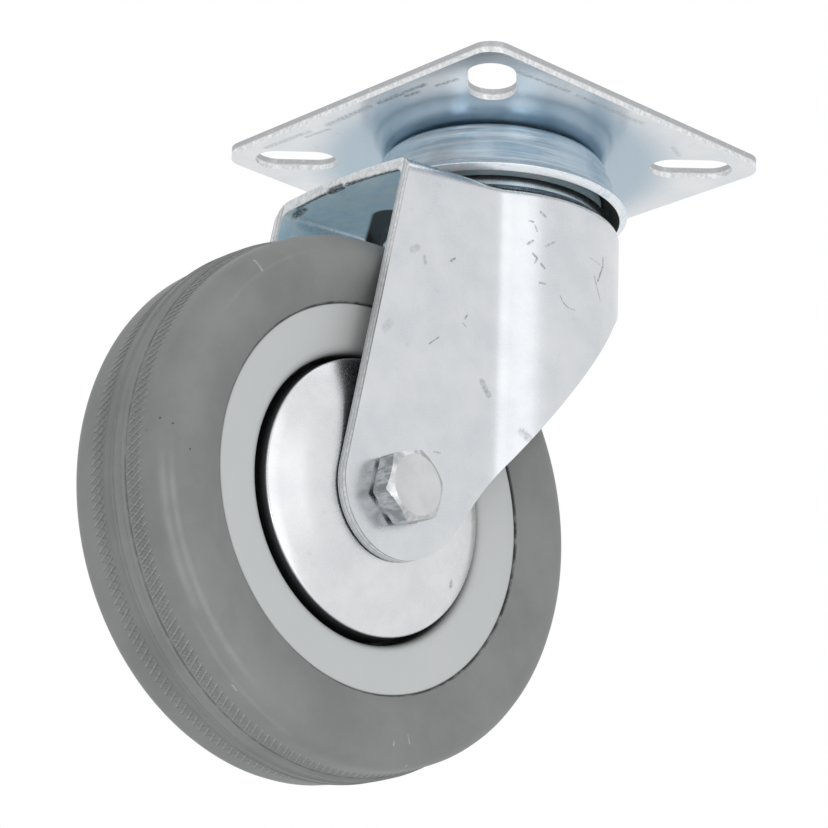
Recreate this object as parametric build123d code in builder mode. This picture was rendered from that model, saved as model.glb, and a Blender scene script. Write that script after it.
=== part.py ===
from build123d import *

import math
import os

# Swivel castor with a square top plate, a deep-drawn fork and a rubber-tyred wheel.
# Millimetres. The origin is the centre of the plate's top face and +Z points up.
# The fork trails towards -Y, and the wheel turns about an axle along X.

# ---- where the wheel sits ----
axle_drop = 66.8  # plate's top face to the axle
axle_trail = 31.4  # swivel axis to the axle

# ---- top plate ----
plate_side = 61.3
plate_thickness = 1.8
plate_corner_radius = 3.5
slot_inset = 8.4  # plate's edge to the middle of a slot
slot_width = 7.3
slot_length = 13.1

# ---- race cup under the plate ----
cup_sheet = 1.5
cup_top_radius = 16.9  # where the cup meets the plate
cup_bend_radius = 17.8  # half way round the bend
cup_bend_drop = 0.45
cup_wall_radius = 18.3  # outside, just under the bend
cup_wall_drop = 1.5
cup_wall_lean = 0.5  # how much wider the wall is at its step
cup_step_drop = 3.8  # plate's underside to the step
cup_step = 0.35
cup_skirt_radius = 20.1  # where the rim starts to flare
cup_skirt_drop = 7.5
cup_rim_radius = 21.6
cup_rim_drop = 8.85
cup_edge_angle = 31.4  # the rim's cut edge rises outwards at this angle

# ---- balls and their tracks ----
ball_clearance = 0.08
upper_ball_diameter = 6.0
upper_ball_count = 13
lower_ball_diameter = 5.0
lower_ball_count = 10
track_inner_rise = 1.8  # inner land above the bottom of the upper track
track_outer_rise = 0.9
washer_sheet = 1.6  # under the groove
washer_radius = 12.2
washer_inner_rise = 1.3  # inner land above the bottom of the lower track
washer_outer_rise = 1.0

# ---- king pin ----
pin_radius = 5.2
pin_neck_radius = 4.4
pin_head_radius = 5.8
pin_foot_radius = 6.2
pin_foot_height = 1.8
rivet_clearance = 0.02

# ---- fork ----
fork_sheet = 1.7
crown_drop = 13.8  # plate's top face to the top of the crown
crown_bore_radius = 5.9
neck_radius = 17.4  # outside of the raised race
neck_bend = 1.2
turret_radius = 20.3
turret_blend = 8.0  # hollow radius between the turret and a leg
turret_shoulder = 1.5  # round edge of the crown
turret_inner_round = 0.4
crown_fall = 1.1  # the crown's front edge is this much lower at the legs than in its middle
front_shoulder = 3.0  # round edge of the crown at its front
leg_half_width = 15.2
front_reach = 31.5  # swivel axis to the crown's front edge
leg_end_radius = 10.3
front_lean = 0.2  # how far the front edge runs forward for each mm down
skirt_drop = 20.5  # lower edge of the turret at the back
cut_start_reach = 14.2  # where the rear edge starts, behind the swivel axis
cut_start_drop = 26.9
cut_knee_reach = 10.2
cut_knee_drop = 30.6
cut_waist_reach = -8.0  # half way down the rear edge, in front of the swivel axis
cut_waist_drop = 53.75
heel_reach = 10.8  # where the rear edge turns under the axle, behind the axle
heel_drop = 4.65
heel_round_reach = 7.4
heel_round_drop = 7.75
sole_angle = 15.0  # where the round end takes over, from straight below the axle

# ---- ring between the race cup and the crown ----
ring_radius = 18.3
ring_thickness = 1.5
ring_lift = 0.95  # gap left above the crown
ring_seat = 0.05

# ---- axle ----
bolt_radius = 3.0
hex_across_flats = 10.0
bolt_head_height = 3.9
bolt_head_turn = 17.9
hex_face_radius = 4.5
hex_bevel_angle = 30.0
bolt_point = 1.5  # bolt standing out of the nut
bolt_core_radius = 2.55  # root of the thread on that end
nut_hex_height = 4.4
nut_collar_height = 1.6
nut_collar_radius = 4.4
leg_hole_clearance = 0.2
tube_radius = 5.0

# ---- thread guards ----
guard_sheet = 1.0
guard_land_radius = 8.7
guard_fold = 0.33  # inside of the land's edge, nearer the axle than its outside
guard_cone_radius = 20.4
guard_cone_depth = 4.2  # the land stands out this far past the cone's edge
guard_edge_radius = 21.8
guard_edge_depth = 0.9
guard_skirt = 3.0

# ---- wheel ----
bush_radius = 7.0
bush_end_gap = 0.3
running_clearance = 0.05
hub_radius = 9.6
hub_half_length = 10.6
web_half_thickness = 2.0
rib_count = 8
rib_thickness = 1.8
rib_half_width = 4.5
rib_root = 0.5  # how far a rib runs into the hub and into the rim
rim_radius = 28.9
rim_half_width = 9.7
rim_mouth_radius = 22.4
rim_mouth_fall = 0.4  # the ring face falls inwards by this much

tyre_radius = 40.2
tyre_half_width = 11.65
tyre_seat_half_width = 9.9
shoulder_radius = 4.2
tread_drop = 0.7  # shoulder's top below the rib
band_drop = 0.5  # knurled band below the rib, next to it
band_half_width = 5.6
rib_half_tread = 2.3
rib_slope = 0.25
shoulder_strips = 4

# ---- worked out from the sizes above ----
plate_bottom = -plate_thickness
cup_roof = plate_bottom - cup_sheet
cup_bore_wall = cup_wall_radius - cup_sheet
crown_top = -crown_drop
crown_bottom = crown_top - fork_sheet
eighth = math.tan(math.radians(22.5))  # half a side of an octagon, for an apothem of 1

upper_ball_radius = upper_ball_diameter / 2
upper_fit = upper_ball_radius + ball_clearance
upper_ring = cup_bore_wall - upper_fit
upper_height = cup_roof - upper_fit
track_bottom = upper_height - upper_fit
land_inner = track_bottom + track_inner_rise
land_outer = track_bottom + track_outer_rise
track_half = upper_fit * eighth

under_fit = upper_fit + fork_sheet
under_half = under_fit * eighth
under_bottom = upper_height - under_fit
under_land = land_inner - fork_sheet
neck_bore = neck_radius - fork_sheet

lower_ball_radius = lower_ball_diameter / 2
lower_fit = lower_ball_radius + ball_clearance
lower_height = under_land - lower_fit
lower_ring = (
    upper_ring - under_half + under_bottom - lower_height - lower_fit * math.sqrt(2)
)
dish_bottom = lower_height - lower_fit
dish_half = lower_fit * eighth
dish_inner = dish_bottom + washer_inner_rise
dish_outer = dish_bottom + washer_outer_rise

leg_inner = leg_half_width - fork_sheet
axle_y = -axle_trail
axle_z = -axle_drop
tube_bore = bolt_radius + leg_hole_clearance
tube_half_length = leg_inner - guard_sheet
bush_half_length = tube_half_length - bush_end_gap

section = Plane.XZ  # x is the radius and y the height
side_view = Plane.YZ
wheel_axis = Axis((0, axle_y, axle_z), (1, 0, 0))
wheel_section = Plane(origin=(0, axle_y, axle_z), x_dir=(1, 0, 0), z_dir=(0, -1, 0))

finished = []


def keep(part, name):
    """Labels a finished piece and lists it for writing."""
    part.label = name
    finished.append(part)


def turned(points, plane=section, axis=Axis.Z):
    """A turned piece from the corners of its half section."""
    with BuildPart() as piece:
        with BuildSketch(plane):
            with BuildLine():
                Polyline(*points, close=True)
            make_face()
        revolve(axis=axis)
    return piece.part


def make_ball(radius, ring, height, turn):
    """A ball with flats on the tangent planes at every eighth of a turn."""
    with BuildPart() as ball:
        with Locations((0, 0, height)):
            with PolarLocations(ring, 1, start_angle=turn):
                Box(radius * 2, radius * 2, radius * 2)
        chamfer(ball.edges(), radius * (1 - eighth))
    return ball.part


# ---- top plate: flat sheet with a slot along each diagonal ----
slot_reach = (plate_side - slot_inset * 2) / math.sqrt(2)
with BuildPart() as top_plate:
    with BuildSketch(Plane.XY.offset(plate_bottom)):
        RectangleRounded(plate_side, plate_side, plate_corner_radius)
        with PolarLocations(slot_reach, 4, start_angle=45):
            SlotOverall(slot_length, slot_width, mode=Mode.SUBTRACT)
    extrude(amount=plate_thickness)
    with BuildSketch(section):
        with BuildLine():
            Polyline(
                (0, 0),
                (pin_head_radius + rivet_clearance, 0),
                (pin_neck_radius + rivet_clearance, plate_bottom),
                (0, plate_bottom),
                close=True,
            )
        make_face()
    revolve(axis=Axis.Z, mode=Mode.SUBTRACT)
keep(top_plate.part, "top_plate")

# ---- race cup: pressed sheet with a stepped wall and a flared rim ----
step_radius = cup_wall_radius + cup_wall_lean
step_z = plate_bottom - cup_step_drop
skirt_z = plate_bottom - cup_skirt_drop
rim_z = plate_bottom - cup_rim_drop
edge_angle = math.radians(cup_edge_angle)
inner_edge_radius = cup_rim_radius - cup_sheet * math.cos(edge_angle)
inner_edge_z = rim_z - cup_sheet * math.sin(edge_angle)
inner_skirt_z = skirt_z - cup_sheet * math.tan(edge_angle / 3)
corner_cut = upper_fit * (1 - eighth)
with BuildPart() as race_cup:
    with BuildSketch(section):
        with BuildLine():
            Polyline(
                (pin_neck_radius + rivet_clearance, plate_bottom),
                (cup_top_radius, plate_bottom),
                (cup_bend_radius, plate_bottom - cup_bend_drop),
                (cup_wall_radius, plate_bottom - cup_wall_drop),
                (step_radius, step_z),
                (step_radius + cup_step, step_z - cup_step),
                (cup_skirt_radius, skirt_z),
                (cup_rim_radius, rim_z),
                (inner_edge_radius, inner_edge_z),
                (cup_skirt_radius - cup_sheet, inner_skirt_z),
                (cup_bore_wall, upper_height - upper_fit * eighth),
                (cup_bore_wall, cup_roof - corner_cut),
                (cup_bore_wall - corner_cut, cup_roof),
                (pin_neck_radius + rivet_clearance, cup_roof),
                close=True,
            )
        make_face()
    revolve(axis=Axis.Z)
keep(race_cup.part, "race_cup")

# ---- balls ----
for number in range(upper_ball_count):
    turn = 360 * number / upper_ball_count
    ball = make_ball(upper_ball_radius, upper_ring, upper_height, turn)
    keep(ball, f"upper_ball_{number + 1:02d}")

for number in range(lower_ball_count):
    turn = 360 * number / lower_ball_count
    ball = make_ball(lower_ball_radius, lower_ring, lower_height, turn)
    keep(ball, f"lower_ball_{number + 1:02d}")

# ---- lower race: grooved washer under the lower balls ----
neck_hole = pin_neck_radius + rivet_clearance
washer_bottom = dish_bottom - washer_sheet
lower_race = turned(
    [
        (neck_hole, dish_inner),
        (lower_ring - dish_half - washer_inner_rise, dish_inner),
        (lower_ring - dish_half, dish_bottom),
        (lower_ring + dish_half, dish_bottom),
        (lower_ring + dish_half + washer_outer_rise, dish_outer),
        (washer_radius, dish_outer),
        (washer_radius, washer_bottom),
        (neck_hole, washer_bottom),
    ]
)
keep(lower_race, "lower_race")

# ---- king pin: flush head in the plate, shoulder between the races, riveted foot ----
foot_bottom = washer_bottom - pin_foot_height
king_pin = turned(
    [
        (0, 0),
        (pin_head_radius, 0),
        (pin_neck_radius, plate_bottom),
        (pin_neck_radius, cup_roof),
        (pin_radius, cup_roof),
        (pin_radius, dish_inner),
        (pin_neck_radius, dish_inner),
        (pin_neck_radius, washer_bottom),
        (pin_foot_radius, washer_bottom),
        (pin_foot_radius, foot_bottom),
        (0, foot_bottom),
    ]
)
keep(king_pin, "king_pin")


# ---- fork: drawn hood with a round turret at the back and two flat legs ----
def hood_section(y, half_width, top, depth, fall, corner):
    """The hood cut across at y: flat sides under a crown that falls to both shoulders."""
    left = (-half_width, top - fall)
    right = (half_width, top - fall)
    with BuildSketch(Plane.XZ.offset(-y)) as outline:
        with BuildLine():
            if fall > 0:
                ThreePointArc(left, (0, top), right)
            else:
                Line(left, right)
            Polyline(right, (half_width, -depth), (-half_width, -depth), left)
        make_face()
        fillet(outline.vertices().group_by(Axis.Z)[-1], corner)
    return outline.sketch


def make_hood(half_width, radius, top, blend, turret_round, front_round):
    """A solid hood: a round turret with two flat sides run out in front of it."""
    depth = axle_drop + leg_end_radius * 2
    reach = axle_trail + leg_end_radius * 2
    seam = math.sqrt((radius + blend) ** 2 - (half_width + blend) ** 2)
    growth = (reach - seam) / (front_reach - seam)
    end_fall = crown_fall * growth
    end_round = turret_round + (front_round - turret_round) * growth
    with BuildPart() as hood:
        with BuildSketch(Plane.XY.offset(-depth)) as plan:
            Circle(radius)
            with Locations((0, -reach / 2)):
                Rectangle(half_width * 2, reach)
            corners = plan.vertices().filter_by_position(Axis.Y, -radius, 0)
            fillet(corners, blend)
            with Locations((0, -seam - reach)):
                Rectangle(radius * 2, reach * 2, mode=Mode.SUBTRACT)
        extrude(amount=depth + top)
        rim = hood.edges().group_by(Axis.Z)[-1].sort_by(Axis.Y)[1:]
        fillet(rim, turret_round)
        back = hood_section(-seam, half_width, top, depth, 0, turret_round)
        front = hood_section(-reach, half_width, top, depth, end_fall, end_round)
        loft([back, front], ruled=True)
    return hood.part


outside = make_hood(
    leg_half_width,
    turret_radius,
    crown_top,
    turret_blend,
    turret_shoulder,
    front_shoulder,
)
inside = make_hood(
    leg_inner,
    turret_radius - fork_sheet,
    crown_bottom,
    turret_blend + fork_sheet,
    turret_inner_round,
    front_shoulder - fork_sheet,
)

front_angle = math.atan(front_lean)
end_y = axle_y - leg_end_radius * math.cos(front_angle)
end_z = axle_z + leg_end_radius * math.sin(front_angle)
front_top_z = end_z + (-front_reach - end_y) / front_lean
sole_turn = math.radians(sole_angle)
sole_y = axle_y + leg_end_radius * math.sin(sole_turn)
sole_z = axle_z - leg_end_radius * math.cos(sole_turn)
heel_y = axle_y + heel_reach
heel_z = axle_z - heel_drop
with BuildPart() as fork:
    add(outside)
    add(inside, mode=Mode.SUBTRACT)
    with BuildSketch(side_view):
        with BuildLine():
            Polyline(
                (end_y, end_z),
                (-front_reach, front_top_z),
                (-front_reach, crown_top),
                (turret_radius, crown_top),
                (turret_radius, -skirt_drop),
                (cut_start_reach, -cut_start_drop),
                (cut_knee_reach, -cut_knee_drop),
            )
            ThreePointArc(
                (cut_knee_reach, -cut_knee_drop),
                (cut_waist_reach, -cut_waist_drop),
                (heel_y, heel_z),
            )
            ThreePointArc(
                (heel_y, heel_z),
                (axle_y + heel_round_reach, axle_z - heel_round_drop),
                (sole_y, sole_z),
            )
            ThreePointArc(
                (sole_y, sole_z),
                (axle_y - leg_end_radius * math.sin(sole_turn), sole_z),
                (end_y, end_z),
            )
        make_face()
    extrude(amount=turret_radius, both=True, mode=Mode.INTERSECT)
    with BuildSketch(Plane.XY.offset(crown_bottom)):
        Circle(neck_radius)
    extrude(amount=fork_sheet, mode=Mode.SUBTRACT)
    with BuildSketch(section):
        with BuildLine():
            Polyline(
                (crown_bore_radius, land_inner),
                (upper_ring - track_half - track_inner_rise, land_inner),
                (upper_ring - track_half, track_bottom),
                (upper_ring + track_half, track_bottom),
                (upper_ring + track_half + track_outer_rise, land_outer),
                (neck_radius, land_outer),
                (neck_radius, crown_top + neck_bend),
                (neck_radius + neck_bend, crown_top),
                (neck_radius + neck_bend, crown_bottom),
                (neck_bore + neck_bend * 2, crown_bottom),
                (neck_bore, crown_bottom + neck_bend * 2),
                (neck_bore, under_bottom),
                (upper_ring - under_half, under_bottom),
                (upper_ring - under_half - track_inner_rise, under_land),
                (crown_bore_radius, under_land),
                close=True,
            )
        make_face()
    revolve(axis=Axis.Z)
    with BuildSketch(side_view):
        with Locations((axle_y, axle_z)):
            Circle(tube_bore)
    extrude(amount=leg_half_width, both=True, mode=Mode.SUBTRACT)
keep(fork.part, "fork")

# ---- dust ring: seated on the bend at the foot of the raised race ----
ring_bottom = crown_top + ring_lift
ring_bore = neck_radius + ring_seat
seat_top = crown_top + neck_bend - ring_seat
dust_ring = turned(
    [
        (ring_bore, ring_bottom + ring_thickness),
        (ring_radius, ring_bottom + ring_thickness),
        (ring_radius, ring_bottom),
        (neck_radius + neck_bend - ring_lift, ring_bottom),
        (ring_bore, seat_top),
    ]
)
keep(dust_ring, "dust_ring")

# ---- axle bolt, nut and tube ----
hex_corner = hex_across_flats / math.sqrt(3)
hex_bevel = (hex_corner - hex_face_radius) * math.tan(math.radians(hex_bevel_angle))


def make_hex(start, height, turn, side):
    """A hexagon along the axle with its outer corners turned off."""
    with BuildPart() as hexagon:
        with BuildSketch(side_view.offset(start * side)):
            with Locations((axle_y, axle_z)):
                RegularPolygon(hex_across_flats / 2, 6, major_radius=False, rotation=turn)
        extrude(amount=height * side)
        with BuildSketch(wheel_section):
            with BuildLine():
                Polyline(
                    (start * side, 0),
                    (start * side, hex_corner),
                    ((start + height - hex_bevel) * side, hex_corner),
                    ((start + height) * side, hex_face_radius),
                    ((start + height) * side, 0),
                    close=True,
                )
            make_face()
        revolve(axis=wheel_axis, mode=Mode.INTERSECT)
    return hexagon.part


bolt_head = make_hex(leg_half_width, bolt_head_height, bolt_head_turn, 1)
nut_end = leg_half_width + nut_hex_height + nut_collar_height
with BuildPart() as axle_bolt:
    add(bolt_head)
    with BuildSketch(side_view.offset(leg_half_width)):
        with Locations((axle_y, axle_z)):
            Circle(bolt_radius)
    extrude(amount=-leg_half_width - nut_end)
    with BuildSketch(side_view.offset(-nut_end)):
        with Locations((axle_y, axle_z)):
            Circle(bolt_core_radius)
    extrude(amount=-bolt_point)
keep(axle_bolt.part, "axle_bolt")

nut_hex = make_hex(leg_half_width, nut_hex_height, 0, -1)
with BuildPart() as axle_nut:
    add(nut_hex)
    with BuildSketch(side_view.offset(-leg_half_width - nut_hex_height)):
        with Locations((axle_y, axle_z)):
            Circle(nut_collar_radius)
    extrude(amount=-nut_collar_height)
    with BuildSketch(side_view.offset(-leg_half_width)):
        with Locations((axle_y, axle_z)):
            Circle(bolt_radius + rivet_clearance)
    extrude(amount=-nut_hex_height - nut_collar_height, mode=Mode.SUBTRACT)
keep(axle_nut.part, "axle_nut")

axle_tube = turned(
    [
        (-tube_half_length, tube_bore),
        (tube_half_length, tube_bore),
        (tube_half_length, tube_radius),
        (-tube_half_length, tube_radius),
    ],
    wheel_section,
    wheel_axis,
)
keep(axle_tube, "axle_tube")

# ---- thread guards: shallow steel cones with a skirt ----
cone_x = leg_inner - guard_cone_depth
edge_x = cone_x - guard_edge_depth
for name, side in (("left", -1), ("right", 1)):
    guard = turned(
        [
            (leg_inner * side, tube_bore),
            (leg_inner * side, guard_land_radius),
            (cone_x * side, guard_cone_radius),
            (edge_x * side, guard_edge_radius),
            ((edge_x - guard_skirt) * side, guard_edge_radius),
            ((edge_x - guard_skirt) * side, guard_edge_radius - guard_sheet),
            ((cone_x - guard_sheet) * side, guard_edge_radius - guard_sheet),
            (tube_half_length * side, guard_land_radius - guard_fold),
            (tube_half_length * side, tube_bore),
        ],
        wheel_section,
        wheel_axis,
    )
    keep(guard, f"thread_guard_{name}")

# ---- wheel bush and wheel centre ----
wheel_bush = turned(
    [
        (-bush_half_length, tube_radius + running_clearance),
        (bush_half_length, tube_radius + running_clearance),
        (bush_half_length, bush_radius),
        (-bush_half_length, bush_radius),
    ],
    wheel_section,
    wheel_axis,
)
keep(wheel_bush, "wheel_bush")

mouth_x = rim_half_width - rim_mouth_fall
half_section = [
    (web_half_thickness, rim_mouth_radius),
    (mouth_x, rim_mouth_radius),
    (rim_half_width, rim_radius),
]
hub_section = [
    (hub_half_length, bush_radius),
    (hub_half_length, hub_radius),
    (web_half_thickness, hub_radius),
]
right_side = hub_section + half_section
left_side = [(-x, r) for x, r in reversed(right_side)]
with BuildPart() as wheel_centre:
    with BuildSketch(wheel_section):
        with BuildLine():
            Polyline(*right_side, *left_side, close=True)
        make_face()
    revolve(axis=wheel_axis)
    with BuildSketch(side_view):
        with Locations((axle_y, axle_z)):
            with PolarLocations((hub_radius + rim_mouth_radius) / 2, rib_count):
                Rectangle(rim_mouth_radius - hub_radius + rib_root * 2, rib_thickness)
    extrude(amount=rib_half_width, both=True)
keep(wheel_centre.part, "wheel_centre")

# ---- tyre: plain rib in the middle, a knurled band each side and round shoulders ----
shoulder_x = tyre_half_width - shoulder_radius
tread_r = tyre_radius - tread_drop
widest_r = tread_r - shoulder_radius
shoulder = []
for strip in range(shoulder_strips + 1):
    angle = math.radians(90 - 90 * strip / shoulder_strips)
    point_x = shoulder_x + shoulder_radius * math.cos(angle)
    shoulder.append((point_x, widest_r + shoulder_radius * math.sin(angle)))
right_tread = [
    (rib_half_tread - rib_slope, tyre_radius),
    (rib_half_tread, tyre_radius - band_drop),
    (band_half_width, tread_r),
    *shoulder,
    (tyre_seat_half_width, rim_radius),
]
left_tread = [(-x, r) for x, r in reversed(right_tread)]
tyre = turned(right_tread + left_tread, wheel_section, wheel_axis)
keep(tyre, "tyre")

os.makedirs("parts", exist_ok=True)
for part in finished:
    export_step(part, f"parts/{part.label}.step")
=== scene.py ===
import math

import bpy
import numpy as np
from mathutils import Matrix, Vector


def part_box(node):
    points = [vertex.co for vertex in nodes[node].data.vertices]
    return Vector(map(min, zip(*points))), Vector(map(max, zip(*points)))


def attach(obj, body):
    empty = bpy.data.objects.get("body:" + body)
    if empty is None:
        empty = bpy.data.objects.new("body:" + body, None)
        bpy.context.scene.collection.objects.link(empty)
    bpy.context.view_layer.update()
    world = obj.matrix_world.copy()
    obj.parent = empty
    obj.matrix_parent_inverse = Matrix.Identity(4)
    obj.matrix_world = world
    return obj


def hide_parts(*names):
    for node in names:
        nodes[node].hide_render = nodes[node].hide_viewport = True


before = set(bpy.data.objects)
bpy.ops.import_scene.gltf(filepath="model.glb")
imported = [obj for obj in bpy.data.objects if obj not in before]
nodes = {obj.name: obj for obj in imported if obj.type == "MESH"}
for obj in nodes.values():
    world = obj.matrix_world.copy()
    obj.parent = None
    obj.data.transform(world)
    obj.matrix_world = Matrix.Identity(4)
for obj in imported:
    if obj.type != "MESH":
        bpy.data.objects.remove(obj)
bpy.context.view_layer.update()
mm = 0.001
print("stage 1: frame loaded,", len(nodes), "nodes")

# places that the pieces share, read from the frame
tyreLow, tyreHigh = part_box("tyre")
rimLow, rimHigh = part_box("wheel_centre")
guardLow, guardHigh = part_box("thread_guard_right")
cupLow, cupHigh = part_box("race_cup")
boltLow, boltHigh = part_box("axle_bolt")
plateLow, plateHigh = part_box("top_plate")
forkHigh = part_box("fork")[1]
wheelCentre = (tyreLow + tyreHigh) / 2
wheelRadius = (tyreHigh.z - tyreLow.z) / 2
rimRadius = (rimHigh.z - rimLow.z) / 2
# measures of the fork that its box doesn't give; the hood's turret is round as far as turretEnd,
# and its hollow as far as hollowEnd
fork = {
    "sideHalf": 15.2 * mm,
    "turretRadius": 20.3 * mm,
    "turretEnd": -16.0 * mm,
    "hollowRadius": 19.45 * mm,
    "hollowHalf": 14.9 * mm,
    "hollowEnd": -12.0 * mm,
}


def makeObject(name, shells):
    # one object from closed shells, each a pair of its points and its quads
    points = np.concatenate([shell[0] for shell in shells]).astype(np.float32)
    starts = np.cumsum([0] + [len(shell[0]) for shell in shells[:-1]])
    quads = np.concatenate([shell[1] + start for shell, start in zip(shells, starts)])
    mesh = bpy.data.meshes.new(name)
    mesh.vertices.add(len(points))
    mesh.vertices.foreach_set("co", points.reshape(-1))
    mesh.loops.add(quads.size)
    mesh.loops.foreach_set("vertex_index", quads.reshape(-1).astype(np.int32))
    mesh.polygons.add(len(quads))
    mesh.polygons.foreach_set("loop_start", np.arange(len(quads), dtype=np.int32) * 4)
    mesh.polygons.foreach_set("use_smooth", np.ones(len(quads), dtype=bool))
    mesh.update(calc_edges=True)
    mesh.validate()
    obj = bpy.data.objects.new(name, mesh)
    bpy.context.scene.collection.objects.link(obj)
    return obj


def gridShell(points, closeRows=False, closeColumns=True):
    # points is rows x columns x 3; each cell of the grid becomes one quad
    rows, columns = points.shape[:2]
    rowStarts = np.arange(rows if closeRows else rows - 1)
    columnStarts = np.arange(columns if closeColumns else columns - 1)
    a, b = np.meshgrid(rowStarts, columnStarts, indexing="ij")
    nextRow = (a + 1) % rows
    nextColumn = (b + 1) % columns
    corners = [(a, b), (a, nextColumn), (nextRow, nextColumn), (nextRow, b)]
    quads = np.stack([r * columns + c for r, c in corners], axis=-1).reshape(-1, 4)
    return points.reshape(-1, 3), quads


def gridMesh(name, points, closeRows=False, closeColumns=True):
    return makeObject(name, [gridShell(points, closeRows, closeColumns)])


def fullTurn(columns):
    # equal angles round a circle, as one row
    return np.linspace(0, 2 * math.pi, columns, endpoint=False)[None, :]


def aroundAxle(along, radius, angle):
    # along runs on the axle from the wheel's middle; angle 0 points to +Y, a quarter turn to +Z
    y = wheelCentre.y + radius * np.cos(angle)
    z = wheelCentre.z + radius * np.sin(angle)
    return np.stack([along + wheelCentre.x + 0 * y, y, z], axis=-1)


def aroundSwivel(height, radius, angle):
    # round the upright axis through the origin; angle 0 points to +X
    x = radius * np.cos(angle)
    y = radius * np.sin(angle)
    return np.stack([x, y, height + 0 * x], axis=-1)


smallRound = 0.5 * mm


def roundedPath(corners, steps=5):
    # a closed outline of (across, up, corner radius); each rounded corner becomes an arc of steps
    # pieces, or of three where its radius is small
    out = []
    count = len(corners)
    for i, (across, up, radius) in enumerate(corners):
        here = np.array((across, up), float)
        if radius <= 0:
            out.append(here)
            continue
        before = np.array(corners[i - 1][:2], float)
        after = np.array(corners[(i + 1) % count][:2], float)
        toBefore = (before - here) / np.linalg.norm(before - here)
        toAfter = (after - here) / np.linalg.norm(after - here)
        half = math.acos(max(-1, min(1, float(toBefore @ toAfter)))) / 2
        reach = radius / math.tan(half)
        inward = (toBefore + toAfter) / np.linalg.norm(toBefore + toAfter)
        middle = here + inward * radius / math.sin(half)
        start = here + toBefore * reach - middle
        end = here + toAfter * reach - middle
        sweep = math.pi - 2 * half
        cuts = steps if radius > smallRound else 3
        for k in range(cuts + 1):
            w = k / cuts
            mix = start * math.sin((1 - w) * sweep) + end * math.sin(w * sweep)
            out.append(middle + mix / math.sin(sweep))
    return np.array(out)


def divided(path, longest):
    # the same closed outline with each stretch cut into equal ones, none over longest(its ends)
    out = []
    for here, after in zip(path, np.roll(path, -1, axis=0)):
        pieces = max(1, math.ceil(np.linalg.norm(after - here) / longest(here, after)))
        for k in range(pieces):
            out.append(here + (after - here) * k / pieces)
    return np.array(out)


def turned(corners, columns, around, longest):
    # corners as for roundedPath, in the order that around takes: height or x, then radius
    path = divided(roundedPath(corners), lambda here, after: longest)
    points = around(path[:, :1], path[:, 1:], fullTurn(columns))
    return gridShell(np.broadcast_to(points, (len(path), columns, 3)), closeRows=True)


def lathe(name, corners, columns, around, longest):
    return makeObject(name, [turned(corners, columns, around, longest)])


class Signal:
    # one output of a node tree; arithmetic on it adds Math nodes
    def __init__(self, tree, socket):
        self.tree = tree
        self.socket = socket

    def compute(self, kind, operation, values, output=0):
        node = self.tree.nodes.new(kind)
        node.operation = operation
        for place, value in enumerate(values):
            if isinstance(value, Signal):
                self.tree.links.new(value.socket, node.inputs[place])
            else:
                node.inputs[place].default_value = value
        return Signal(self.tree, node.outputs[output])

    def math(self, operation, *others):
        return self.compute("ShaderNodeMath", operation, (self, *others))

    def vector(self, operation, *others, output=0):
        return self.compute("ShaderNodeVectorMath", operation, (self, *others), output)

    def __add__(self, other):
        return self.math("ADD", other)

    def __radd__(self, other):
        return self.math("ADD", other)

    def __sub__(self, other):
        return self.math("SUBTRACT", other)

    def __rsub__(self, other):
        return self.compute("ShaderNodeMath", "SUBTRACT", (other, self))

    def __mul__(self, other):
        return self.math("MULTIPLY", other)

    def __rmul__(self, other):
        return self.math("MULTIPLY", other)

    def __lt__(self, other):
        return self.math("LESS_THAN", other)

    def __gt__(self, other):
        return self.math("GREATER_THAN", other)

    def __abs__(self):
        return self.math("ABSOLUTE")

    def __or__(self, other):
        # the larger of the two: where either mask is on
        return self.math("MAXIMUM", other)


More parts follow.
